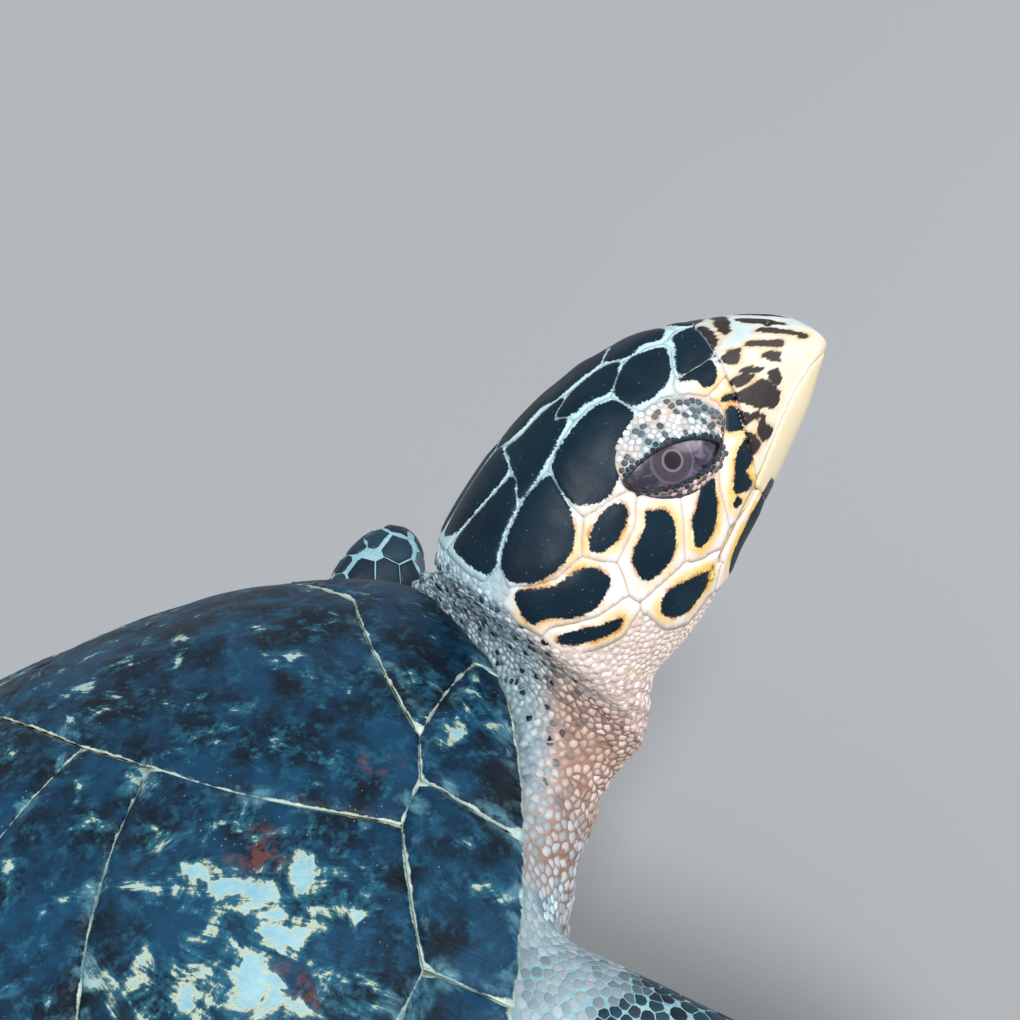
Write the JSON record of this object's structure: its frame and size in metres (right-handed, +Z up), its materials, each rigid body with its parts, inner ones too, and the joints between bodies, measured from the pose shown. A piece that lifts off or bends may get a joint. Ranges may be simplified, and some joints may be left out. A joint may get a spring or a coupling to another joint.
{
  "type": "hawksbill sea turtle model",
  "caption": "Life-size still model of a swimming hawksbill sea turtle, front flippers spread and head turned, held by rods over a flat display base.",
  "frame": {"origin": "centre of the underside of the stand's base, under the centre of the shell", "axes": "+Z up; the turtle faces -Y and its left side is at +X"},
  "size_m": [0.8183, 0.9373, 0.5145],
  "materials": {
    "scute": "satin horn",
    "plastron": "satin horn",
    "skin": "wrinkled, damp",
    "head": "smooth scaled",
    "bill": "satin horn",
    "jaw": "smooth scaled",
    "eye": "wet",
    "claw": "satin horn",
    "stand": "satin black",
    "rod": "brushed"
  },
  "bodies": {
    "root": {"nuchal": "scute", "vertebral_1": "scute", "vertebral_2": "scute", "vertebral_3": "scute", "vertebral_4": "scute", "vertebral_5": "scute", "costal_left_1": "scute", "costal_left_2": "scute", "costal_left_3": "scute", "costal_left_4": "scute", "marginal_left_1": "scute", "marginal_left_2": "scute", "marginal_left_3": "scute", "marginal_left_4": "scute", "marginal_left_5": "scute", "marginal_left_6": "scute", "marginal_left_7": "scute", "marginal_left_8": "scute", "marginal_left_9": "scute", "marginal_left_10": "scute", "marginal_left_11": "scute", "marginal_left_12": "scute", "costal_right_1": "scute", "costal_right_2": "scute", "costal_right_3": "scute", "costal_right_4": "scute", "marginal_right_1": "scute", "marginal_right_2": "scute", "marginal_right_3": "scute", "marginal_right_4": "scute", "marginal_right_5": "scute", "marginal_right_6": "scute", "marginal_right_7": "scute", "marginal_right_8": "scute", "marginal_right_9": "scute", "marginal_right_10": "scute", "marginal_right_11": "scute", "marginal_right_12": "scute", "plastron": "plastron", "trunk": "skin", "neck": "skin", "tail": "skin", "head": "head", "upper_bill": "bill", "lower_bill": "bill", "lower_jaw": "jaw", "stand_base": "stand", "stand_rod_front": "rod", "stand_rod_rear": "rod", "eye_left": "eye", "flipper_front_left": "skin", "flipper_hind_left": "skin", "claw_front_left": "claw", "claw_hind_left": "claw", "eye_right": "eye", "flipper_front_right": "skin", "flipper_hind_right": "skin", "claw_front_right": "claw", "claw_hind_right": "claw"}
  },
  "joints": []
}
